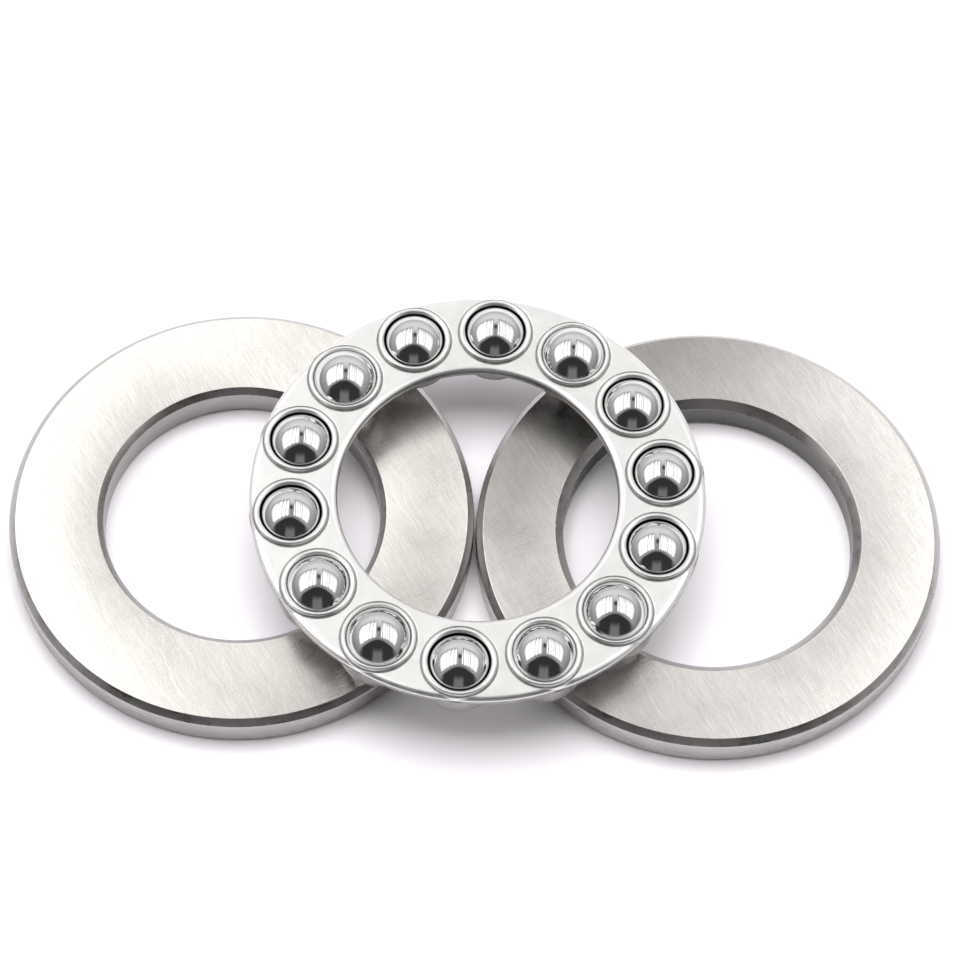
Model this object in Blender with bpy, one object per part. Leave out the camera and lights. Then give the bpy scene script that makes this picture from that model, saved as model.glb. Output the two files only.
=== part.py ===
"""Single-direction thrust ball bearing, size 25 x 42 x 11 mm, laid apart on a table.

The shaft washer (left) and the housing washer (right) lie on their raceway
faces, edge to edge. The cage with its fourteen balls lies across both of them.
Metres, +Z up. Run with: blender --background --python part.py
"""

import math

import bmesh
import bpy
from mathutils import Matrix

MM = 0.001

# ---------------------------------------------------------------- washers
WASHER_OD = 42.0
WASHER_T = 3.4                  # thickness of either washer
SHAFT_BORE = 25.0               # seats on the shaft
HOUSING_BORE = 26.2             # clears the shaft
BACK_CHAMFER = 0.60             # outer edge of the mounting face
SHAFT_BORE_CHAMFER = 0.55
HOUSING_BORE_CHAMFER = 0.75
RACE_EDGE_CHAMFER = 0.30        # both edges of the raceway face
WASHER_GAP = 0.20               # between the two rims, edge to edge
ASSEMBLED_H = 11.0              # height of the bearing when it is stacked

# ---------------------------------------------------------------- balls
BALL_D = 6.35                   # quarter inch
BALL_COUNT = 14
PITCH_R = 16.75
FIRST_BALL_DEG = 112.4          # ball_01, measured from +X, counter-clockwise
POCKET_PLAY = 0.43              # how far a ball can move up and down
TABLE_CLEAR = 0.02              # lowest balls above the washers' backs

# ---------------------------------------------------------------- raceway
GROOVE_R = 0.54 * BALL_D
GROOVE_FLOOR = WASHER_T - (ASSEMBLED_H - BALL_D) / 2

# ---------------------------------------------------------------- cage
SHEET = 0.45
CAGE_OUT_R = 20.36
CAGE_IN_R = 12.55
FLAT_OUT_R = 19.75
FLAT_IN_R = 13.20
RIM_DROP = 0.45                 # depth of the rounded fold
RIM_SKIRT = 0.30                # straight part under the fold
HOLE_R = 2.84                   # edge of the lip round each ball
LIP_CROWN_R = 3.06
LIP_FOOT_R = 3.36
LIP_RISE = 0.30
LIP_EDGE_DROP = 0.115
LIP_CLEAR = 1.50                # lip edge above the centre of a raised ball
COLLAR_IN_R = 3.30
COLLAR_OUT_R = 3.66

RAISED_Z = WASHER_T + TABLE_CLEAR + POCKET_PLAY + BALL_D / 2
POCKET_Z = RAISED_Z - POCKET_PLAY / 2
HALF_POCKET = LIP_CLEAR + POCKET_PLAY / 2
CAGE_TOP = HALF_POCKET + LIP_EDGE_DROP - LIP_RISE   # flat top above POCKET_Z

WASHER_STEPS = 96
RING_STEPS = BALL_COUNT * 6
POCKET_STEPS = 24

WASHER_X = (WASHER_OD + WASHER_GAP) / 2
CAGE_X, CAGE_Y = 0.14, 0.39     # where the cage's centre lies over the two washers

# The balls over a washer are pushed up against the cage, those over a bore or
# between the washers hang down in it. Steps of the play, ball_01 to ball_14.
HANG = (1.0, 1.0, 0.0, 0.9, 1.0, 1.0, 0.0, 0.35, 1.0, 0.0, 0.5, 1.0, 1.0, 0.0)


def clear_scene():
    for obj in list(bpy.data.objects):
        bpy.data.objects.remove(obj, do_unlink=True)


def material(name, colour, metallic, roughness):
    mat = bpy.data.materials.new(name)
    mat.use_nodes = True
    bsdf = mat.node_tree.nodes["Principled BSDF"]
    bsdf.inputs["Base Color"].default_value = (*colour, 1.0)
    bsdf.inputs["Metallic"].default_value = metallic
    bsdf.inputs["Roughness"].default_value = roughness
    mat.diffuse_color = (*colour, 1.0)
    return mat


def link_mesh(name, bm, mat, smooth_deg=35.0):
    mesh = bpy.data.meshes.new(name)
    bmesh.ops.recalc_face_normals(bm, faces=bm.faces)
    bm.to_mesh(mesh)
    bm.free()
    obj = bpy.data.objects.new(name, mesh)
    bpy.context.scene.collection.objects.link(obj)
    mesh.materials.append(mat)
    mesh.shade_smooth()
    mesh.set_sharp_from_angle(angle=math.radians(smooth_deg))
    return obj


def spin_profile(bm, profile, steps, centre=(0.0, 0.0)):
    """Turns a closed (radius, height) outline, in mm, into a ring about a vertical axis."""
    verts = [bm.verts.new((centre[0] * MM + r * MM, centre[1] * MM, z * MM))
             for r, z in profile]
    edges = [bm.edges.new((verts[i], verts[(i + 1) % len(verts)]))
             for i in range(len(verts))]
    bmesh.ops.spin(
        bm, geom=verts + edges,
        cent=(centre[0] * MM, centre[1] * MM, 0.0), axis=(0, 0, 1),
        angle=2 * math.pi, steps=steps, use_merge=True, use_duplicate=False)
    bmesh.ops.remove_doubles(bm, verts=bm.verts, dist=1e-7)


def arc(cr, cz, radius, a0, a1, n):
    """n + 1 points of an arc in the (radius, height) plane, angles in degrees."""
    return [(cr + radius * math.cos(math.radians(a0 + (a1 - a0) * i / n)),
             cz + radius * math.sin(math.radians(a0 + (a1 - a0) * i / n)))
            for i in range(n + 1)]


def washer(name, bore, bore_chamfer, mat, x):
    """A flat ring with its back up. The raceway is the groove in the face below."""
    ri, ro = bore / 2, WASHER_OD / 2
    depth = GROOVE_R - GROOVE_FLOOR
    half = math.degrees(math.acos(depth / GROOVE_R))
    groove = arc(PITCH_R, -depth, GROOVE_R, 90 + half, 90 - half, 8)
    profile = [
        (ri + RACE_EDGE_CHAMFER, 0.0),
        *groove,
        (ro - RACE_EDGE_CHAMFER, 0.0),
        (ro, RACE_EDGE_CHAMFER),
        (ro, WASHER_T - BACK_CHAMFER),
        (ro - BACK_CHAMFER, WASHER_T),
        (ri + bore_chamfer, WASHER_T),
        (ri, WASHER_T - bore_chamfer),
        (ri, RACE_EDGE_CHAMFER),
    ]
    bm = bmesh.new()
    spin_profile(bm, profile, WASHER_STEPS)
    obj = link_mesh(name, bm, mat)
    obj.location = (x * MM, 0.0, 0.0)
    return obj


def pocket_centre(i):
    a = math.radians(FIRST_BALL_DEG - 360.0 * i / BALL_COUNT)
    return PITCH_R * math.cos(a), PITCH_R * math.sin(a)


def quarter_fold(flat_r, edge_r, top, n):
    """Points of the rounded fold from the flat to the edge, a quarter of an ellipse."""
    return [(flat_r + (edge_r - flat_r) * math.sin(math.pi / 2 * i / n),
             top - RIM_DROP * (1 - math.cos(math.pi / 2 * i / n)))
            for i in range(n + 1)]


def cage(mat):
    """A pressed ring: flat web, folded rims, and a drawn collar with a lip at both ends round each ball."""
    top, half = CAGE_TOP, HALF_POCKET
    skirt = top - RIM_DROP - RIM_SKIRT
    web = [
        *quarter_fold(FLAT_OUT_R, CAGE_OUT_R, top, 3),
        (CAGE_OUT_R, skirt),
        (CAGE_OUT_R - SHEET, skirt),
        (CAGE_OUT_R - SHEET - 0.12, top - SHEET),
        (CAGE_IN_R + SHEET + 0.12, top - SHEET),
        (CAGE_IN_R + SHEET, skirt),
        (CAGE_IN_R, skirt),
        *reversed(quarter_fold(FLAT_IN_R, CAGE_IN_R, top, 3)),
    ]
    bm = bmesh.new()
    spin_profile(bm, web, RING_STEPS)
    obj = link_mesh("cage", bm, mat)

    # a collar's outside: lip on top, straight wall, rounded lower lip
    collar = [
        (2.0, half),
        (HOLE_R, half),
        (LIP_CROWN_R, half + LIP_EDGE_DROP),
        (LIP_FOOT_R, top - 0.02),
        (COLLAR_OUT_R, top - SHEET * 0.65),
        (COLLAR_OUT_R, -half + 0.42),
        (COLLAR_OUT_R - 0.22, -half + 0.05),
        (LIP_CROWN_R, -half - LIP_EDGE_DROP),
        (HOLE_R, -half),
        (2.0, -half),
    ]
    # a pocket's inside: narrow at both lips, wide round the ball
    pocket = [
        (HOLE_R, half + 0.8), (HOLE_R, half), (COLLAR_IN_R, half - 0.75),
        (COLLAR_IN_R, -half + 0.75), (HOLE_R, -half), (HOLE_R, -half - 0.8),
    ]
    collars, pockets, bridges = bmesh.new(), bmesh.new(), bmesh.new()
    for i in range(BALL_COUNT):
        shape = bmesh.new()
        spin_profile(shape, collar, POCKET_STEPS)
        turn_out(shape, i)
        add(collars, shape)
        shape = bmesh.new()
        solid_of_revolution(shape, pocket, POCKET_STEPS)
        turn_out(shape, i)
        add(pockets, shape)
        bridge(bridges, i)

    obj.location = (CAGE_X * MM, CAGE_Y * MM, POCKET_Z * MM)
    for name, bm, op in (("collars", collars, "UNION"),
                         ("bridges", bridges, "UNION"),
                         ("pockets", pockets, "DIFFERENCE")):
        other = link_mesh(f"cage_{name}_shape", bm, mat)
        other.hide_render = True
        other.display_type = "WIRE"
        other.location = obj.location
        mod = obj.modifiers.new(name, "BOOLEAN")
        mod.operation = op
        mod.solver = "EXACT"
        mod.object = other
    return obj


def solid_of_revolution(bm, profile, steps):
    """Closes an open outline, from top to bottom, onto its axis with flat ends."""
    rings = []
    for r, z in profile:
        rings.append([bm.verts.new((r * MM * math.cos(2 * math.pi * k / steps),
                                    r * MM * math.sin(2 * math.pi * k / steps), z * MM))
                      for k in range(steps)])
    for a, b in zip(rings, rings[1:]):
        for k in range(steps):
            bm.faces.new((a[k], a[(k + 1) % steps], b[(k + 1) % steps], b[k]))
    bm.faces.new(rings[0])
    bm.faces.new(list(reversed(rings[-1])))


def turn_out(bm, i):
    """Moves a pocket's shape from the axis to the place of ball i, turned to face outwards."""
    x, y = pocket_centre(i)
    a = math.atan2(y, x)
    bmesh.ops.transform(
        bm, verts=bm.verts,
        matrix=Matrix.Translation((x * MM, y * MM, 0.0)) @ Matrix.Rotation(a, 4, "Z"))


def add(bm, other):
    """Copies one bmesh into another and frees it."""
    mesh = bpy.data.meshes.new("piece")
    other.to_mesh(mesh)
    other.free()
    bm.from_mesh(mesh)
    bpy.data.meshes.remove(mesh)


def bridge(bm, i):
    """A short bar across the thin slot between collar i and the next one."""
    a = math.radians(FIRST_BALL_DEG - 360.0 * (i + 0.5) / BALL_COUNT)
    r = PITCH_R * math.cos(math.pi / BALL_COUNT)
    size = Matrix.Diagonal((2.2 * MM, 0.62 * MM, (CAGE_TOP + HALF_POCKET - 0.85) * MM, 1.0))
    mid = (CAGE_TOP - SHEET * 0.5 - (HALF_POCKET - 0.6)) / 2
    place = (Matrix.Translation((r * MM * math.cos(a), r * MM * math.sin(a), mid * MM))
             @ Matrix.Rotation(a, 4, "Z"))
    bmesh.ops.create_cube(bm, size=1.0, matrix=place @ size)


def ball(i, mat):
    """One ball. Its poles lie on the radial line it rolls about."""
    x, y = pocket_centre(i)
    bm = bmesh.new()
    bmesh.ops.create_uvsphere(bm, u_segments=20, v_segments=12, radius=BALL_D / 2 * MM)
    bmesh.ops.rotate(bm, verts=bm.verts, cent=(0, 0, 0),
                     matrix=Matrix.Rotation(math.pi / 2, 3, "Y"))
    obj = link_mesh(f"ball_{i + 1:02d}", bm, mat, smooth_deg=60.0)
    obj.location = ((CAGE_X + x) * MM, (CAGE_Y + y) * MM,
                    (RAISED_Z - HANG[i] * POCKET_PLAY) * MM)
    obj.rotation_euler = (0.0, 0.0, math.atan2(y, x))
    return obj


def main():
    clear_scene()
    washer_steel = material("ground_washer_steel", (0.56, 0.54, 0.50), 1.0, 0.30)
    cage_steel = material("pressed_cage_steel", (0.78, 0.78, 0.77), 1.0, 0.24)
    ball_steel = material("polished_ball_steel", (0.80, 0.80, 0.80), 1.0, 0.03)
    washer("shaft_washer", SHAFT_BORE, SHAFT_BORE_CHAMFER, washer_steel, -WASHER_X)
    washer("housing_washer", HOUSING_BORE, HOUSING_BORE_CHAMFER, washer_steel, WASHER_X)
    cage(cage_steel)
    for i in range(BALL_COUNT):
        ball(i, ball_steel)


main()
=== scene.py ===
"""Looks of the thrust ball bearing: detailed rings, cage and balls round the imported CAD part."""

import math

import bmesh
import bpy
from mathutils import Matrix, Vector


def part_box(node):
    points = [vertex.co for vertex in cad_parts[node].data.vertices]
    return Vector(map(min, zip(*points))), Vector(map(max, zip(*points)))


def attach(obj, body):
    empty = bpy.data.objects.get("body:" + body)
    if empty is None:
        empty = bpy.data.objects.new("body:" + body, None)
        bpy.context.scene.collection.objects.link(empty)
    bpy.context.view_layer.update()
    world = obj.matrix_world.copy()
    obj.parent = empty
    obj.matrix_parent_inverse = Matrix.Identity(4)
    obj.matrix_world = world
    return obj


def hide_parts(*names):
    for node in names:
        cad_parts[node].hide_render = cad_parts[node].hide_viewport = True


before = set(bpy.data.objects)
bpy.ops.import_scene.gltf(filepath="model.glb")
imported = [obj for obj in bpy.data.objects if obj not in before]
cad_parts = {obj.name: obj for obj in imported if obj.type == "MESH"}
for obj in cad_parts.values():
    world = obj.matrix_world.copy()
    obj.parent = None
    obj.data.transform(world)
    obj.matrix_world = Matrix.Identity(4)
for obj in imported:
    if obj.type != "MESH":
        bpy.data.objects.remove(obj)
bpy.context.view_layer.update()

MM = 0.001

# ------------------------------------------------------------------ sizes, mm
SHAFT_BORE = 25.0
HOUSING_BORE = 26.2
BACK_CHAMFER = 0.60
SHAFT_BORE_CHAMFER = 0.55
HOUSING_BORE_CHAMFER = 0.75
RACE_EDGE_CHAMFER = 0.30
GROOVE_R = 3.429
GROOVE_FLOOR = 1.075
PITCH_R = 16.75
BALL_COUNT = 14
BALL_R = 3.175

CAGE_OUT_R = 20.36
CAGE_IN_R = 12.55
FLAT_OUT_R = 19.75
FLAT_IN_R = 13.20
RIM_DROP = 0.45
RIM_SKIRT = 0.30
SHEET = 0.45
TOP = 1.53
HALF = 1.715
HOLE_R = 2.86
CROWN_R = 3.18
FOOT_R = 3.50
COLLAR_IN_R = 3.30
COLLAR_OUT_R = 3.66


def box_centre(node):
    lo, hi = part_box(node)
    return (lo + hi) / 2 / MM


# ------------------------------------------------------------------ node helpers
class Graph:
    """A short way to write a material's or the world's nodes."""

    def __init__(self, tree):
        self.tree = tree
        tree.nodes.clear()

    def node(self, kind, links=None, **settings):
        n = self.tree.nodes.new(kind)
        for key, value in settings.items():
            setattr(n, key, value)
        for key, value in (links or {}).items():
            self.put(n.inputs[key], value)
        return n

    def put(self, socket, value):
        if isinstance(value, bpy.types.NodeSocket):
            self.tree.links.new(value, socket)
        elif isinstance(value, (tuple, list)) and len(value) == 3 and socket.type == "RGBA":
            socket.default_value = (*value, 1.0)
        else:
            socket.default_value = value

    def math(self, op, a, b=None, c=None, clamp=False):
        n = self.node("ShaderNodeMath", operation=op, use_clamp=clamp)
        for i, v in enumerate((a, b, c)):
            if v is not None:
                self.put(n.inputs[i], v)
        return n.outputs[0]

    def vec(self, op, a, b=None):
        n = self.node("ShaderNodeVectorMath", operation=op)
        self.put(n.inputs[0], a)
        if b is not None:
            self.put(n.inputs[1], b)
        return n.outputs["Value" if op in ("LENGTH", "DOT_PRODUCT") else "Vector"]

    def ramp(self, value, lo, hi, a=0.0, b=1.0, kind="SMOOTHSTEP"):
        n = self.node("ShaderNodeMapRange", interpolation_type=kind, clamp=True)
        for key, v in zip(("Value", "From Min", "From Max", "To Min", "To Max"), (value, lo, hi, a, b)):
            self.put(n.inputs[key], v)
        return n.outputs["Result"]

    def mix(self, share, a, b, kind="MIX"):
        n = self.node("ShaderNodeMix", data_type="RGBA", blend_type=kind)
        self.put(n.inputs["Factor"], share)
        self.put(n.inputs["A"], a)
        self.put(n.inputs["B"], b)
        return next(o for o in n.outputs if o.type == "RGBA")

    def noise(self, vector, scale, detail=2.0, rough=0.5, dist=0.0):
        return self.node("ShaderNodeTexNoise", {
            "Vector": vector, "Scale": scale, "Detail": detail, "Roughness": rough,
            "Distortion": dist}).outputs[0]

    def turned(self, vector, degrees, scale, shift=(0.0, 0.0, 0.0)):
        """The coordinates turned about Z, then stretched."""
        n = self.node("ShaderNodeMapping", vector_type="POINT")
        self.put(n.inputs["Vector"], vector)
        n.inputs["Rotation"].default_value = (0.0, 0.0, math.radians(degrees))
        turned = n.outputs[0]
        m = self.node("ShaderNodeMapping", vector_type="POINT")
        self.put(m.inputs["Vector"], turned)
        m.inputs["Scale"].default_value = scale
        m.inputs["Location"].default_value = shift
        return m.outputs[0]


def new_material(name):
    mat = bpy.data.materials.new(name)
    mat.use_nodes = True
    g = Graph(mat.node_tree)
    bsdf = g.node("ShaderNodeBsdfPrincipled")
    bsdf.inputs["Metallic"].default_value = 1.0
    out = g.node("ShaderNodeOutputMaterial")
    g.tree.links.new(bsdf.outputs[0], out.inputs[0])
    return mat, g, bsdf


def coordinates(g, centre=(0.0, 0.0, 0.0)):
    """Rest coordinates in mm, counted from a point in mm."""
    at = g.node("ShaderNodeTexCoord").outputs["Object"]
    mm = g.node("ShaderNodeVectorMath", operation="SCALE")
    g.put(mm.inputs[0], at)
    mm.inputs["Scale"].default_value = 1000.0
    return g.vec("SUBTRACT", mm.outputs[0], tuple(centre))


def bump(g, height, strength, distance_mm, normal=None):
    n = g.node("ShaderNodeBump", {"Height": height, "Strength": strength, "Distance": distance_mm * MM})
    if normal is not None:
        g.put(n.inputs["Normal"], normal)
    return n.outputs[0]


# ------------------------------------------------------------------ materials
FACE_ROUGH = (0.285, 0.325)


def bent(g, at, reach_mm, size_mm):
    """Coordinates pushed about by a slow noise, so marks laid on them curve."""
    push = g.node("ShaderNodeTexNoise", {"Vector": at, "Scale": 1.0 / size_mm, "Detail": 1.0}).outputs["Color"]
    push = g.vec("SUBTRACT", push, (0.5, 0.5, 0.5))
    push = g.vec("MULTIPLY", push, (2.0 * reach_mm, 2.0 * reach_mm, 0.0))
    return g.vec("ADD", at, push)


def scratches(g, at, angle, long_mm, wide_mm, cut, shift):
    """Sparse marks of one direction, 0 to 1."""
    v = g.turned(at, angle, (1.0 / long_mm, 1.0 / wide_mm, 1.0), shift)
    n = g.noise(v, 1.0, 1.0, 0.4)
    return g.ramp(n, cut, cut + 0.10)


def ground_face(name, centre, tone, painted_light_drift):
    """The washers' flat backs: surface-ground, then handled. Fine short marks cross at many angles."""
    mat, g, bsdf = new_material(name)
    at = coordinates(g, centre)
    curved = bent(g, at, 0.40, 4.0)
    scratches_and_glint = None
    for k, (angle, long_mm, wide_mm, cut, share) in enumerate((
            (62, 3.2, 0.070, 0.60, 1.0), (47, 2.6, 0.060, 0.61, 0.9), (-28, 2.6, 0.065, 0.62, 0.7),
            (80, 2.2, 0.060, 0.61, 0.8), (14, 2.2, 0.065, 0.63, 0.6), (-58, 2.0, 0.065, 0.63, 0.6))):
        m = scratches(g, curved, angle, long_mm, wide_mm, cut, (7.3 * k, 3.1 * k, 0.37 * k))
        m = g.math("MULTIPLY", m, share)
        scratches_and_glint = m if scratches_and_glint is None else g.math("MAXIMUM", scratches_and_glint, m)
    lines = g.noise(g.turned(curved, 56, (0.28, 8.0, 1.0)), 1.0, 3.0, 0.6)
    lines2 = g.noise(g.turned(curved, -34, (0.30, 7.0, 1.0), (5.0, 9.0, 0.0)), 1.0, 3.0, 0.6)
    cloud = g.noise(at, 0.24, 3.0, 0.55, 0.3)
    fine = g.noise(at, 5.5, 3.0, 0.6)
    tint = g.mix(g.ramp(cloud, 0.30, 0.72), tuple(c * 0.975 for c in tone), tuple(c * 1.02 for c in tone))
    tint = g.mix(g.ramp(lines, 0.34, 0.66, 0.0, 0.70), tint, tuple(c * 0.84 for c in tone))
    # the scratch marks are real wear; their lighter tone is a painted glint
    tint = g.mix(g.math("MULTIPLY", scratches_and_glint, 0.70), tint, tuple(min(1.0, c * 1.24) for c in tone))
    # painted light and shade: the base colour is scaled up towards one side of each ground face and down towards
    # the other, as the light falls on that washer
    across = g.vec("DOT_PRODUCT", at, (painted_light_drift[0], painted_light_drift[1], 0.0))
    share = g.ramp(across, painted_light_drift[2], painted_light_drift[3], painted_light_drift[4], painted_light_drift[5])
    shade = g.node("ShaderNodeVectorMath", operation="SCALE")
    g.put(shade.inputs[0], tint)
    g.put(shade.inputs["Scale"], share)
    g.put(bsdf.inputs["Base Color"], shade.outputs[0])
    rough = g.math("ADD", g.ramp(cloud, 0.25, 0.75, FACE_ROUGH[0], FACE_ROUGH[1]),
                   g.ramp(lines2, 0.32, 0.68, -0.02, 0.02))
    rough = g.math("ADD", rough, g.math("MULTIPLY", scratches_and_glint, -0.02))
    g.put(bsdf.inputs["Roughness"], rough)
    height = g.math("ADD", g.math("MULTIPLY", lines, 0.38), g.math("MULTIPLY", lines2, 0.30))
    height = g.math("ADD", height, g.math("MULTIPLY", scratches_and_glint, -0.22))
    height = g.math("ADD", height, g.math("MULTIPLY", fine, 0.35))
    g.put(bsdf.inputs["Normal"], bump(g, height, 0.085, 0.008))
    return mat


def turned_edge(name, centre, tone, rough_lo, rough_hi):
    """Rims, bores and chamfers: turned and tumbled, with marks running round the ring."""
    mat, g, bsdf = new_material(name)
    at = coordinates(g, centre)
    parts = g.node("ShaderNodeSeparateXYZ")
    g.put(parts.inputs[0], at)
    radius = g.vec("LENGTH", g.vec("MULTIPLY", at, (1.0, 1.0, 0.0)))
    angle = g.math("ARCTAN2", parts.outputs[1], parts.outputs[0])
    ring = g.node("ShaderNodeCombineXYZ")
    g.put(ring.inputs[0], g.math("MULTIPLY", angle, 2.2))
    g.put(ring.inputs[1], g.math("MULTIPLY", radius, 9.0))
    g.put(ring.inputs[2], g.math("MULTIPLY", parts.outputs[2], 9.0))
    lines = g.noise(ring.outputs[0], 1.0, 3.0, 0.65)
    cloud = g.noise(at, 0.5, 4.0, 0.6)
    tint = g.mix(g.ramp(cloud, 0.30, 0.70), tuple(c * 0.93 for c in tone), tuple(c * 1.05 for c in tone))
    tint = g.mix(g.ramp(lines, 0.35, 0.70, 0.0, 0.5), tint, tuple(c * 0.88 for c in tone))
    g.put(bsdf.inputs["Base Color"], tint)
    g.put(bsdf.inputs["Roughness"], g.math("ADD", g.ramp(cloud, 0.3, 0.7, rough_lo, rough_hi),
                                           g.ramp(lines, 0.3, 0.7, -0.04, 0.04)))
    g.put(bsdf.inputs["Normal"], bump(g, g.math("ADD", lines, g.math("MULTIPLY", cloud, 0.3)), 0.20, 0.008))
    return mat


def cage_sheet(centre):
    """Pressed sheet steel, tumbled bright: a satin skin with soft dapples and a few rubs."""
    mat, g, bsdf = new_material("cage_pressed_steel")
    at = coordinates(g, centre)
    dapple = g.noise(at, 0.75, 3.0, 0.55, 0.2)
    cloud = g.noise(at, 0.25, 2.0, 0.5)
    fine = g.noise(at, 7.0, 3.0, 0.6)
    rubs = None
    for k, (angle, cut) in enumerate(((25, 0.66), (-50, 0.67), (80, 0.67))):
        m = scratches(g, at, angle, 2.6, 0.07, cut, (4.0 * k, 2.0 * k, 0.5 * k))
        rubs = m if rubs is None else g.math("MAXIMUM", rubs, m)
    tone = (0.825, 0.825, 0.815)
    tint = g.mix(g.ramp(dapple, 0.30, 0.72), tuple(c * 0.975 for c in tone), tuple(c * 1.015 for c in tone))
    tint = g.mix(g.ramp(cloud, 0.35, 0.70, 0.0, 0.5), tint, tuple(c * 0.96 for c in tone))
    tint = g.mix(g.math("MULTIPLY", rubs, 0.22), tint, tuple(c * 0.78 for c in tone))
    g.put(bsdf.inputs["Base Color"], tint)
    g.put(bsdf.inputs["Roughness"], g.math("ADD", g.ramp(dapple, 0.3, 0.7, 0.34, 0.38),
                                           g.math("MULTIPLY", rubs, 0.08)))
    height = g.math("ADD", g.math("MULTIPLY", dapple, 1.0), g.math("MULTIPLY", fine, 0.12))
    height = g.math("ADD", height, g.math("MULTIPLY", rubs, -0.15))
    g.put(bsdf.inputs["Normal"], bump(g, height, 0.16, 0.014))
    return mat


def collar_painted_shade(centre):
    """Outside of the collars, the rims' outermost fold and their skirt: a dark base colour, painted shade for the
    shadowed floor they mirror.
    """
    mat, g, bsdf = new_material("cage_collar_painted_shade")
    at = coordinates(g, centre)
    n = g.noise(at, 1.2, 4.0, 0.6)
    g.put(bsdf.inputs["Base Color"], g.mix(g.ramp(n, 0.3, 0.7), (0.28, 0.276, 0.272), (0.36, 0.356, 0.352)))
    g.put(bsdf.inputs["Roughness"], g.ramp(n, 0.3, 0.7, 0.34, 0.44))
    g.put(bsdf.inputs["Normal"], bump(g, n, 0.25, 0.02))
    return mat


def crease_painted_shade(centre):
    """The coined line round each pocket and its hole edge, in a dark base colour: painted shade in the crease."""
    mat, g, bsdf = new_material("cage_coined_line_painted_shade")
    at = coordinates(g, centre)
    n = g.noise(at, 1.4, 4.0, 0.6)
    g.put(bsdf.inputs["Base Color"], g.mix(g.ramp(n, 0.3, 0.7), (0.32, 0.318, 0.313), (0.44, 0.438, 0.43)))
    g.put(bsdf.inputs["Roughness"], g.ramp(n, 0.3, 0.7, 0.36, 0.44))
    g.put(bsdf.inputs["Normal"], bump(g, n, 0.2, 0.02))
    return mat


def pocket_painted_shade(centre):
    """Inside of the collars: a dark base colour, painted shade that deepens the dark ring round each ball."""
    mat, g, bsdf = new_material("cage_pocket_painted_shade")
    at = coordinates(g, centre)
    n = g.noise(at, 1.6, 4.0, 0.6)
    g.put(bsdf.inputs["Base Color"], g.mix(g.ramp(n, 0.3, 0.7), (0.17, 0.166, 0.16), (0.27, 0.264, 0.257)))
    g.put(bsdf.inputs["Roughness"], g.ramp(n, 0.3, 0.7, 0.36, 0.50))
    g.put(bsdf.inputs["Normal"], bump(g, n, 0.3, 0.02))
    return mat


def ball_steel(name, centre, seed):
    """Lapped steel: a mirror, with a faint haze and hairline handling marks."""
    mat, g, bsdf = new_material(name)
    at = coordinates(g, centre)
    haze = g.noise(at, 0.45, 3.0, 0.5)
    speck = g.noise(at, 3.2, 4.0, 0.7)
    hair = None
    for k, (angle, cut) in enumerate(((20 + 37 * seed, 0.70), (-55 + 23 * seed, 0.71))):
        m = scratches(g, at, angle, 1.8, 0.05, cut, (3.0 * k + seed, 2.0 * k, 0.4 * seed))
        hair = m if hair is None else g.math("MAXIMUM", hair, m)
    tint = g.mix(g.ramp(haze, 0.3, 0.7), (0.60, 0.60, 0.602), (0.66, 0.658, 0.655))
    tint = g.mix(g.ramp(speck, 0.66, 0.74, 0.0, 0.22), tint, (0.45, 0.44, 0.43))
    g.put(bsdf.inputs["Base Color"], tint)
    g.put(bsdf.inputs["Roughness"], g.math("ADD", g.ramp(haze, 0.3, 0.7, 0.025, 0.06),
                                           g.math("MULTIPLY", hair, 0.10)))
    g.put(bsdf.inputs["Normal"], bump(g, g.math("MULTIPLY", hair, -1.0), 0.12, 0.003))
    return mat


# ------------------------------------------------------------------ mesh helpers
def link(name, mesh, body, nodes, materials, sharp=40.0):
    for m in materials:
        mesh.materials.append(m)
    mesh.shade_smooth()
    mesh.set_sharp_from_angle(angle=math.radians(sharp))
    obj = bpy.data.objects.new(name, mesh)
    bpy.context.scene.collection.objects.link(obj)
    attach(obj, body)
    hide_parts(*nodes)
    return obj


def rounded(points, radius, steps=4):
    """Rounds the corners of a closed outline. A point is (r, z, zone) or (r, z, zone, corner radius)."""
    out = []
    n = len(points)
    for i in range(n):
        p, a, b = points[i], points[i - 1], points[(i + 1) % n]
        rad = p[3] if len(p) > 3 else radius
        pv, av, bv = Vector(p[:2]), Vector(a[:2]), Vector(b[:2])
        da, db = (av - pv), (bv - pv)
        if rad <= 0 or da.length < 1e-9 or db.length < 1e-9:
            out.append((p[0], p[1], p[2]))
            continue
        cut = min(rad, da.length * 0.45, db.length * 0.45)
        s, e = pv + da.normalized() * cut, pv + db.normalized() * cut
        for k in range(steps + 1):
            t = k / steps
            q = s * (1 - t) ** 2 + pv * (2 * t * (1 - t)) + e * t ** 2
            out.append((q.x, q.y, a[2] if t < 0.5 else p[2]))
    return out


def lathe(name, outline, steps, cx, cy):
    """A closed ring from a closed outline of (radius, height, zone): zone i is the face from point i to i + 1."""
    n = len(outline)
    verts, faces, zones = [], [], []
    for s in range(steps):
        a = 2 * math.pi * s / steps
        ca, sa = math.cos(a), math.sin(a)
        for r, z, _ in outline:
            verts.append(((cx + r * ca) * MM, (cy + r * sa) * MM, z * MM))
    for s in range(steps):
        t = (s + 1) % steps
        for i in range(n):
            j = (i + 1) % n
            faces.append((s * n + i, t * n + i, t * n + j, s * n + j))
            zones.append(outline[i][2])
    mesh = bpy.data.meshes.new(name)
    mesh.from_pydata(verts, [], faces)
    mesh.polygons.foreach_set("material_index", zones)
    mesh.update()
    bm = bmesh.new()
    bm.from_mesh(mesh)
    bmesh.ops.recalc_face_normals(bm, faces=bm.faces)
    bm.to_mesh(mesh)
    bm.free()
    return mesh


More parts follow.
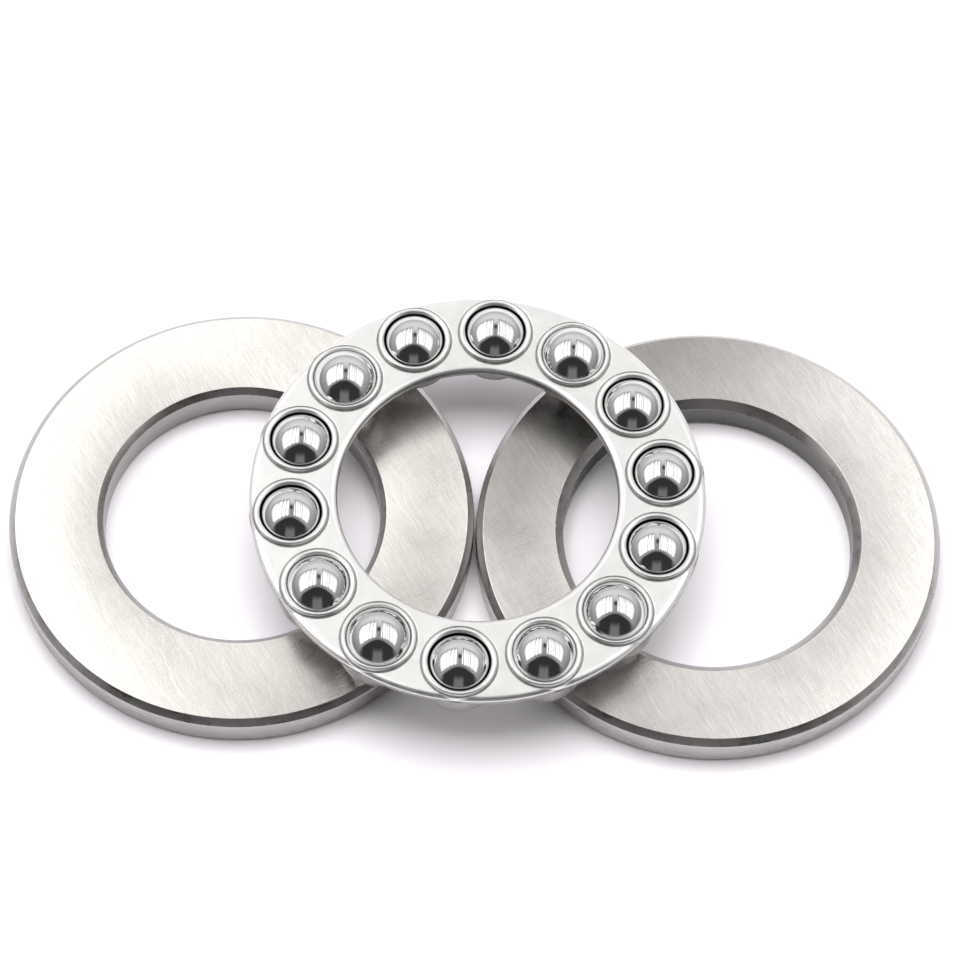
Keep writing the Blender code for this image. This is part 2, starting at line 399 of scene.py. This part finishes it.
# ------------------------------------------------------------------ washers
def washer(node, bore, bore_chamfer, tone, edge_tone, bore_tone, painted_light_drift):
    """Zones: 0 ground faces, 1 turned rims and chamfers, 2 honed raceway, 3 bore wall."""
    lo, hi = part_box(node)
    cx, cy = (lo.x + hi.x) / 2 / MM, (lo.y + hi.y) / 2 / MM
    ro, top, ri = (hi.x - lo.x) / 2 / MM, hi.z / MM, bore / 2
    depth = GROOVE_R - GROOVE_FLOOR
    half = math.acos(depth / GROOVE_R)
    groove = []
    for k in range(29):
        a = math.pi / 2 + half - 2 * half * k / 28
        groove.append((PITCH_R + GROOVE_R * math.cos(a), -depth + GROOVE_R * math.sin(a), 2,
                       0.05 if k in (0, 28) else 0.0))
    groove[-1] = (groove[-1][0], groove[-1][1], 0, 0.05)
    outline = [
        (ri + RACE_EDGE_CHAMFER, 0.0, 0, 0.06), *groove,
        (ro - RACE_EDGE_CHAMFER, 0.0, 1, 0.06), (ro, RACE_EDGE_CHAMFER, 1, 0.06),
        (ro, top - BACK_CHAMFER, 1, 0.10), (ro - BACK_CHAMFER, top, 0, 0.05),
        (ri + bore_chamfer, top, 1, 0.05), (ri, top - bore_chamfer, 3, 0.08),
        (ri, RACE_EDGE_CHAMFER, 1, 0.06),
    ]
    mesh = lathe(node + "_ring", rounded(outline, 0.05), 288, cx, cy)
    centre = (cx, cy, 0.0)
    mats = [
        ground_face(node + "_ground_face_painted_light", centre, tone, painted_light_drift),
        turned_edge(node + "_turned_edge", centre, edge_tone, 0.26, 0.36),
        turned_edge(node + "_raceway", centre, (0.62, 0.61, 0.60), 0.12, 0.18),
        turned_edge(node + "_bore_wall", centre, bore_tone, 0.30, 0.38),
    ]
    return link(node + "_ring", mesh, node, [node], mats, sharp=60.0)


# the last tuple sets the painted light and shade across each ground face: direction, range along it, and the
# brightness at its two ends
washer("shaft_washer", SHAFT_BORE, SHAFT_BORE_CHAMFER, (0.75, 0.728, 0.695), (0.44, 0.425, 0.415),
       (0.37, 0.355, 0.345), (0.60, 0.80, 2.0, 14.0, 0.98, 1.19))
washer("housing_washer", HOUSING_BORE, HOUSING_BORE_CHAMFER, (0.715, 0.695, 0.67), (0.48, 0.465, 0.455),
       (0.13, 0.127, 0.124), (-0.60, 0.80, 3.0, 20.0, 1.01, 0.53))


# ------------------------------------------------------------------ cage
def smooth(t):
    t = max(0.0, min(1.0, t))
    return t * t * (3 - 2 * t)


def web_top(r):
    """Height of the plain sheet's top at a distance from the cage's axis."""
    if r > FLAT_OUT_R:
        s = min(1.0, (r - FLAT_OUT_R) / (CAGE_OUT_R - FLAT_OUT_R))
    elif r < FLAT_IN_R:
        s = min(1.0, (FLAT_IN_R - r) / (FLAT_IN_R - CAGE_IN_R))
    else:
        return TOP
    return TOP - RIM_DROP * (1 - math.sqrt(max(0.0, 1 - s * s)))


def web_under(r):
    """Height of the sheet's underside; under the folded rims, of their lower edge."""
    if r > CAGE_OUT_R - SHEET or r < CAGE_IN_R + SHEET:
        return TOP - RIM_DROP - RIM_SKIRT
    return TOP - SHEET


def lip_top(rho):
    """Height of the bead round a pocket, from its hole edge to its coined foot."""
    pts = ((2.775, 0.075), (2.83, 0.150), (2.91, 0.215), (2.98, 0.255), (3.05, 0.275), (3.12, 0.275),
           (3.19, 0.240), (3.24, 0.180), (3.285, 0.100), (3.33, 0.010), (3.37, -0.055), (3.41, -0.060),
           (3.45, -0.025), (3.50, 0.0))
    if rho <= pts[0][0]:
        return TOP + pts[0][1]
    for (a, za), (b, zb) in zip(pts, pts[1:]):
        if rho <= b:
            return TOP + za + (zb - za) * (rho - a) / (b - a)
    return TOP


LIP_ROWS = (3.56, 3.53, 3.50, 3.475, 3.45, 3.41, 3.37, 3.33, 3.285, 3.24, 3.19, 3.12, 3.05, 2.98, 2.91, 2.83, 2.775)


def sheet_top(r, rho):
    w = smooth((3.54 - rho) / (3.54 - 3.45))
    return web_top(r) * (1 - w) + lip_top(rho) * w


def cage_mesh():
    centre = box_centre("cage")
    first = box_centre("ball_01") - centre
    start = math.atan2(first.y, first.x)
    h = math.pi / BALL_COUNT
    fold = [math.sin(math.radians(a)) for a in (0, 12, 24, 36, 48, 59, 69, 78, 85)]
    fold_out = [FLAT_OUT_R + (CAGE_OUT_R - FLAT_OUT_R) * s for s in fold]
    fold_in = [FLAT_IN_R - (FLAT_IN_R - CAGE_IN_R) * s for s in fold]
    step_out = (CAGE_OUT_R - SHEET - 0.02, CAGE_OUT_R - SHEET + 0.01)
    step_in = (CAGE_IN_R + SHEET + 0.02, CAGE_IN_R + SHEET - 0.01)

    # the sector's border as (R, angle, on an arc), once round, starting at the outer right corner
    side = sorted({CAGE_IN_R, CAGE_OUT_R, *fold_in, *fold_out, *step_in, *step_out,
                   *[FLAT_IN_R + (FLAT_OUT_R - FLAT_IN_R) * k / 22 for k in range(23)]})
    border = [(CAGE_OUT_R, -h + 2 * h * k / 30, "out") for k in range(31)]
    border += [(r, h, "side") for r in reversed(side[1:-1])]
    border += [(CAGE_IN_R, h - 2 * h * k / 24, "in") for k in range(25)]
    border += [(r, -h, "side") for r in side[1:-1]]

    verts, faces, zones = [], [], []
    for b in range(BALL_COUNT):
        turn = start - 2 * math.pi * b / BALL_COUNT
        ct, st = math.cos(turn), math.sin(turn)
        # the bead's edge stays just clear of the ball, which lies higher or lower in its own pocket
        lift = box_centre(f"ball_{b + 1:02d}").z - centre.z
        hole = max(2.775, math.sqrt(BALL_R ** 2 - (TOP + 0.075 - lift) ** 2) + 0.012)
        throat = max(2.86, math.sqrt(BALL_R ** 2 - (HALF - 0.26 - lift) ** 2) + 0.025)
        base, columns = len(verts), []
        for R, a, kind in border:
            bx, by = R * math.cos(a) - PITCH_R, R * math.sin(a)
            length = math.hypot(bx, by)
            ux, uy = bx / length, by / length
            length = max(length, COLLAR_OUT_R + 0.03)

            def reach(radius):
                """Distance along the ray at which it crosses a circle about the cage's axis."""
                p = PITCH_R * ux
                q = p * p - (PITCH_R ** 2 - radius ** 2)
                if q < 0:
                    return length
                roots = [t for t in (-p - math.sqrt(q), -p + math.sqrt(q)) if t > 0]
                return min(roots) if roots else length

            def radius_at(d):
                return math.hypot(PITCH_R + d * ux, d * uy)

            near = min(3.60, length)
            outward = bx > 0 if kind == "side" else kind == "out"
            rings = fold_out if outward else fold_in
            crossings = [min(length, max(near, reach(f))) for f in rings]
            # the edge row and the outermost fold rows take material 2, a dark base colour: painted shade
            painted_shade_rows = 1 if outward else 3
            col = [(length, sheet_top(min(radius_at(length), CAGE_OUT_R), length), 2)]
            col += [(d, sheet_top(radius_at(d), d), 2 if k < painted_shade_rows else 0)
                    for k, d in enumerate(reversed(crossings))]
            flat = crossings[0]
            col += [(near + (flat - near) * k / 5, None, 0) for k in (4, 3, 2, 1, 0)]
            # rows in the coined groove and at the hole edge take material 3, a dark base colour: painted shade in
            # the crease
            col += [(d, None, 3 if 3.30 < d < 3.46 or d < 2.85 else 0) for d in LIP_ROWS]
            col = [(d, sheet_top(min(radius_at(d), CAGE_OUT_R), d) if z is None else z, m) for d, z, m in col]
            col = [(hole + (d - 2.775) * (3.05 - hole) / 0.275 if d < 3.05 else d, z, m) for d, z, m in col]
            # the collar: material 1 inside and material 2 outside, both dark base colours as painted shade
            col += [(throat, HALF - 0.26, 1), (3.06, HALF - 0.42, 1), (3.24, HALF - 0.78, 1),
                    (COLLAR_IN_R, HALF - 1.1, 1), (COLLAR_IN_R, -HALF + 1.1, 1), (3.20, -HALF + 0.78, 1),
                    (3.04, -HALF + 0.42, 1), (2.875, -HALF + 0.10, 2), (2.86, -HALF, 2),
                    (2.92, -HALF - 0.08, 2), (3.01, -HALF - 0.10, 2), (3.12, -HALF - 0.06, 2),
                    (3.23, -HALF + 0.05, 2), (3.33, -HALF + 0.22, 2), (3.42, -HALF + 0.46, 2),
                    (3.50, -HALF + 0.74, 2), (3.57, -HALF + 1.08, 2), (3.63, -HALF + 1.50, 2),
                    (COLLAR_OUT_R, -HALF + 1.95, 2)]
            steps = step_out if outward else step_in
            d1, d2 = (min(length, max(COLLAR_OUT_R, reach(s))) for s in steps)
            under = [COLLAR_OUT_R, (COLLAR_OUT_R + d1) / 2, d1, d2, length]
            inner_z = web_under(CAGE_OUT_R) if d1 <= COLLAR_OUT_R + 1e-6 and d2 <= COLLAR_OUT_R + 1e-6 and length > d2 else TOP - SHEET
            zs = [inner_z, inner_z, TOP - SHEET if d1 > COLLAR_OUT_R + 1e-6 else inner_z,
                  web_under(radius_at(d2)) if d2 < length or kind != "side" else web_under(radius_at(length)),
                  web_under(radius_at(length))]
            if kind != "side":
                zs[3] = zs[4] = TOP - RIM_DROP - RIM_SKIRT
            col += [(d, z, 0) for d, z in zip(under, zs)]
            skirt = []
            if kind != "side":
                skirt = [(length, TOP - RIM_DROP - RIM_SKIRT * 0.85, 0), (length, TOP - RIM_DROP - 0.02, 0)]
            ids = []
            for d, z, _ in col + skirt:
                x, y = PITCH_R + d * ux, d * uy
                ids.append(len(verts))
                verts.append(((centre.x + x * ct - y * st) * MM, (centre.y + x * st + y * ct) * MM,
                              (centre.z + z) * MM))
            columns.append((ids, [m for _, _, m in col], len(col), kind, bool(skirt)))
        n = len(columns)
        for j in range(n):
            a, ma, na, ka, sa = columns[j]
            c, mc, nc, kc, sc = columns[(j + 1) % n]
            for k in range(na - 1):
                faces.append((a[k], a[k + 1], c[k + 1], c[k]))
                zones.append(ma[k])
            # the skirt under the rims takes material 2: painted shade
            if sa and sc and ka == kc:
                loop_a, loop_c = a[na - 1:] + [a[0]], c[nc - 1:] + [c[0]]
                for k in range(len(loop_a) - 1):
                    faces.append((loop_a[k], loop_a[k + 1], loop_c[k + 1], loop_c[k]))
                    zones.append(2)
    mesh = bpy.data.meshes.new("cage_pressing")
    mesh.from_pydata(verts, [], faces)
    mesh.polygons.foreach_set("material_index", zones)
    mesh.update()
    bm = bmesh.new()
    bm.from_mesh(mesh)
    bmesh.ops.remove_doubles(bm, verts=bm.verts, dist=2e-7)
    bmesh.ops.dissolve_degenerate(bm, edges=bm.edges, dist=2e-7)
    # short bars between neighbouring collars
    for b in range(BALL_COUNT):
        a = start - 2 * math.pi * (b + 0.5) / BALL_COUNT
        r = PITCH_R * math.cos(h)
        place = (Matrix.Translation(((centre.x + r * math.cos(a)) * MM, (centre.y + r * math.sin(a)) * MM,
                                     (centre.z + (TOP - SHEET - HALF + 1.25) / 2) * MM))
                 @ Matrix.Rotation(a, 4, "Z")
                 @ Matrix.Diagonal((1.9 * MM, 0.5 * MM, (TOP - SHEET + HALF - 1.25) * MM, 1.0)))
        made = bmesh.ops.create_cube(bm, size=1.0, matrix=place)
        edges = {e for v in made["verts"] for e in v.link_edges}
        bmesh.ops.bevel(bm, geom=list(edges), offset=0.08 * MM, segments=2, affect="EDGES", profile=0.5)
    bmesh.ops.recalc_face_normals(bm, faces=bm.faces)
    open_edges = [e for e in bm.edges if not e.is_manifold]
    print("cage: faces", len(bm.faces), "open edges", len(open_edges))
    bm.to_mesh(mesh)
    bm.free()
    return mesh, centre


mesh, centre = cage_mesh()
# materials 1 to 3 are dark base colours: painted shade in the pockets, on the collar outsides and rim edges, and in
# the coined creases
link("cage_pressing", mesh, "cage", ["cage"], [cage_sheet(centre), pocket_painted_shade(centre), collar_painted_shade(centre), crease_painted_shade(centre)],
     sharp=50.0)


# ------------------------------------------------------------------ balls
def ball_mesh(name, centre, n=26):
    """A ball of six bulged square patches, evenly divided, with no poles."""
    verts, faces, index = [], [], {}
    axes = [((1, 0, 0), (0, 1, 0), (0, 0, 1)), ((-1, 0, 0), (0, 0, 1), (0, 1, 0)),
            ((0, 1, 0), (0, 0, 1), (1, 0, 0)), ((0, -1, 0), (1, 0, 0), (0, 0, 1)),
            ((0, 0, 1), (1, 0, 0), (0, 1, 0)), ((0, 0, -1), (0, 1, 0), (1, 0, 0))]

    def vert(p):
        key = tuple(round(c, 5) for c in p)
        if key not in index:
            index[key] = len(verts)
            verts.append(tuple((c * BALL_R + o) * MM for c, o in zip(p, centre)))
        return index[key]

    for w, u, v in axes:
        grid = []
        for i in range(n + 1):
            row = []
            for j in range(n + 1):
                s = math.tan(math.pi / 4 * (2 * i / n - 1))
                t = math.tan(math.pi / 4 * (2 * j / n - 1))
                p = Vector(w) + Vector(u) * s + Vector(v) * t
                p.normalize()
                row.append(vert(p))
            grid.append(row)
        for i in range(n):
            for j in range(n):
                faces.append((grid[i][j], grid[i + 1][j], grid[i + 1][j + 1], grid[i][j + 1]))
    mesh = bpy.data.meshes.new(name)
    mesh.from_pydata(verts, [], faces)
    bm = bmesh.new()
    bm.from_mesh(mesh)
    bmesh.ops.recalc_face_normals(bm, faces=bm.faces)
    bm.to_mesh(mesh)
    bm.free()
    return mesh


for i in range(BALL_COUNT):
    node = f"ball_{i + 1:02d}"
    at = box_centre(node)
    link(node + "_lapped", ball_mesh(node + "_lapped", at), node, [node],
         [ball_steel(node + "_lapped_steel", at, i)], sharp=180.0)


# ------------------------------------------------------------------ floor
def floor_material():
    mat, g, bsdf = new_material("pale_floor")
    bsdf.inputs["Metallic"].default_value = 0.0
    at = coordinates(g)
    n = g.noise(at, 0.05, 3.0, 0.5)
    g.put(bsdf.inputs["Base Color"], g.mix(g.ramp(n, 0.3, 0.7), (0.88, 0.855, 0.90), (0.90, 0.875, 0.915)))
    bsdf.inputs["Roughness"].default_value = 0.7
    bsdf.inputs["Specular IOR Level"].default_value = 0.2
    return mat


mesh = bpy.data.meshes.new("floor")
s = 3.0
mesh.from_pydata([(-s, -s, 0), (s, -s, 0), (s, s, 0), (-s, s, 0)], [], [(0, 1, 2, 3)])
floor = bpy.data.objects.new("floor", mesh)
floor.location.z = -0.00002
bpy.context.scene.collection.objects.link(floor)
mesh.materials.append(floor_material())


# ------------------------------------------------------------------ light
def panel(name, side, power):
    """A flat light overhead, seen only by reflections and as light; its border is soft and curved."""
    mesh = bpy.data.meshes.new(name)
    mesh.from_pydata([(0.04 * side * H, -1.0 * H, H), (2.6 * side * H, -1.0 * H, H),
                      (2.6 * side * H, 1.50 * H, H), (0.04 * side * H, 1.50 * H, H)], [], [(0, 1, 2, 3)])
    obj = bpy.data.objects.new(name, mesh)
    bpy.context.scene.collection.objects.link(obj)
    mat = bpy.data.materials.new(name + "_light")
    mat.use_nodes = True
    g = Graph(mat.node_tree)
    at = g.node("ShaderNodeTexCoord").outputs["Object"]
    parts = g.node("ShaderNodeSeparateXYZ")
    g.put(parts.inputs[0], at)
    px = g.math("MULTIPLY", parts.outputs[0], side / H)
    py = g.math("MULTIPLY", parts.outputs[1], 1.0 / H)
    line = g.node("ShaderNodeCombineXYZ")
    g.put(line.inputs[0], g.math("MULTIPLY", px, 8.0))
    g.put(line.inputs[2], 3.0 * side)
    folds = g.noise(line.outputs[0], 1.0, 3.0, 0.6)
    folds = g.ramp(folds, 0.40, 0.58, 0.22, 1.0)
    deep = g.math("MULTIPLY", g.ramp(py, 0.40, 1.30, 1.0, 0.42), g.ramp(px, 1.3, 2.4, 1.0, 0.45))
    # front border bends away from the object to the sides; the inner one widens towards the back
    bow = g.math("SQRT", g.math("ADD", g.math("MULTIPLY", px, px), 0.30))
    front = g.math("ADD", g.math("ADD", py, g.math("MULTIPLY", g.math("SUBTRACT", bow, 0.55), 0.45)), 0.25)
    inner = g.math("SUBTRACT", px, g.math("MULTIPLY_ADD", g.math("ADD", py, 0.11), 0.05, 0.06))
    cover = g.math("MULTIPLY", g.ramp(front, 0.0, 0.22), g.ramp(inner, 0.0, 0.09))
    cover = g.math("MULTIPLY", cover, g.math("MULTIPLY", g.ramp(py, 0.85, 1.48, 1.0, 0.0), g.ramp(px, 1.5, 2.55, 1.0, 0.0)))
    strength = g.math("MULTIPLY", g.math("MULTIPLY", folds, deep), power)
    strength = g.math("MULTIPLY", strength, cover)
    glow = g.node("ShaderNodeEmission", {"Color": (1.0, 0.995, 0.985), "Strength": strength})
    clear = g.node("ShaderNodeBsdfTransparent")
    blend = g.node("ShaderNodeMixShader", {"Fac": cover})
    g.tree.links.new(clear.outputs[0], blend.inputs[1])
    g.tree.links.new(glow.outputs[0], blend.inputs[2])
    out = g.node("ShaderNodeOutputMaterial")
    g.tree.links.new(blend.outputs[0], out.inputs[0])
    mat.cycles.emission_sampling = "FRONT_BACK"
    mesh.materials.append(mat)
    obj.visible_camera = False
    obj.visible_shadow = False
    return obj


H = 0.55
panel("panel_left", -1.0, 3.4)
panel("panel_right", 1.0, 2.5)

# a soft light straight overhead for the floor alone: metal does not mirror it
mesh = bpy.data.meshes.new("panel_floor")
q, back = 0.20, 0.12
mesh.from_pydata([(-q, back - q, H), (q, back - q, H), (q, back + q, H), (-q, back + q, H)], [], [(0, 1, 2, 3)])
fill = bpy.data.objects.new("panel_floor", mesh)
bpy.context.scene.collection.objects.link(fill)
mat = bpy.data.materials.new("panel_floor_light")
mat.use_nodes = True
g = Graph(mat.node_tree)
glow = g.node("ShaderNodeEmission", {"Color": (1.0, 0.995, 0.99), "Strength": 6.2})
out = g.node("ShaderNodeOutputMaterial")
g.tree.links.new(glow.outputs[0], out.inputs[0])
mat.cycles.emission_sampling = "FRONT_BACK"
mesh.materials.append(mat)
fill.visible_camera = False
fill.visible_glossy = False
fill.visible_shadow = False

world = bpy.data.worlds.new("studio")
bpy.context.scene.world = world
world.use_nodes = True
g = Graph(world.node_tree)
d = g.node("ShaderNodeTexCoord").outputs["Generated"]
parts = g.node("ShaderNodeSeparateXYZ")
g.put(parts.inputs[0], d)
x, y, z = parts.outputs
ax = g.math("ABSOLUTE", x)
# grey room: lighter behind the object, darker low at the sides
room = g.ramp(y, -0.2, 0.95, 0.53, 0.88)
room = g.math("MULTIPLY", room, g.math("ADD", g.ramp(z, 0.05, 0.45, 0.62, 1.0), g.ramp(y, 0.3, 0.9, 0.0, 0.30)))
room = g.math("SUBTRACT", room, g.ramp(z, 0.75, 1.0, 0.0, 0.10))
# dark side where the photographer stands, with a lighter gap in its middle
bow = g.math("SQRT", g.math("ADD", g.math("MULTIPLY", ax, ax), 0.12))
edge = g.math("ADD", y, g.math("ADD", g.math("MULTIPLY", g.math("SUBTRACT", bow, 0.3464), 0.50),
                               g.math("MULTIPLY", z, 0.05)))
dark = g.ramp(edge, -0.24, -0.10, 1.0, 0.0)
dark = g.math("MULTIPLY", dark, g.ramp(ax, 0.70, 0.92, 1.0, 0.0))
dark = g.math("MULTIPLY", dark, g.ramp(z, 0.02, 0.12))
gap = g.math("MULTIPLY", g.ramp(ax, 0.16, 0.32, 1.0, 0.0), g.ramp(z, 0.50, 0.80, 1.0, 0.0))
dark_tone = g.math("ADD", 0.050, g.math("MULTIPLY", gap, 0.20))
level = g.math("ADD", g.math("MULTIPLY", room, g.math("SUBTRACT", 1.0, dark)), g.math("MULTIPLY", dark_tone, dark))
# a small dark spot overhead, between the two panels
spot = g.vec("LENGTH", g.vec("MULTIPLY", g.vec("SUBTRACT", d, (0.01, 0.36, 0.93)), (1.0, 0.6, 0.6)))
level = g.math("MULTIPLY", level, g.ramp(spot, 0.03, 0.14, 0.12, 1.0))
tone = g.node("ShaderNodeCombineColor")
for k, share in enumerate((1.0, 0.985, 0.985)):
    g.put(tone.inputs[k], g.math("MULTIPLY", level, share))
seen = g.node("ShaderNodeLightPath").outputs["Is Camera Ray"]
colour = g.mix(seen, tone.outputs[0], (0.93, 0.925, 0.93))
back = g.node("ShaderNodeBackground", {"Color": colour, "Strength": 1.0})
out = g.node("ShaderNodeOutputWorld")
g.tree.links.new(back.outputs[0], out.inputs[0])

# ------------------------------------------------------------------ camera
cam_data = bpy.data.cameras.new("camera")
cam_data.sensor_width = 36.0
cam_data.lens = 3490.45 / 960 * 36.0
cam_data.clip_start, cam_data.clip_end = 0.01, 20.0
cam = bpy.data.objects.new("camera", cam_data)
bpy.context.scene.collection.objects.link(cam)
right = Vector((0.9991441, 0.0376595, 0.0171123))
up = Vector((-0.0412717, 0.8797978, 0.4735530))
back_dir = right.cross(up)
m = Matrix((right, up, back_dir)).transposed().to_4x4()
m.translation = Vector((1.14833, -146.01991, 282.82378)) * MM
cam.matrix_world = m
bpy.context.scene.camera = cam
bpy.context.scene.view_settings.view_transform = "Standard"
bpy.context.scene.view_settings.look = "None"
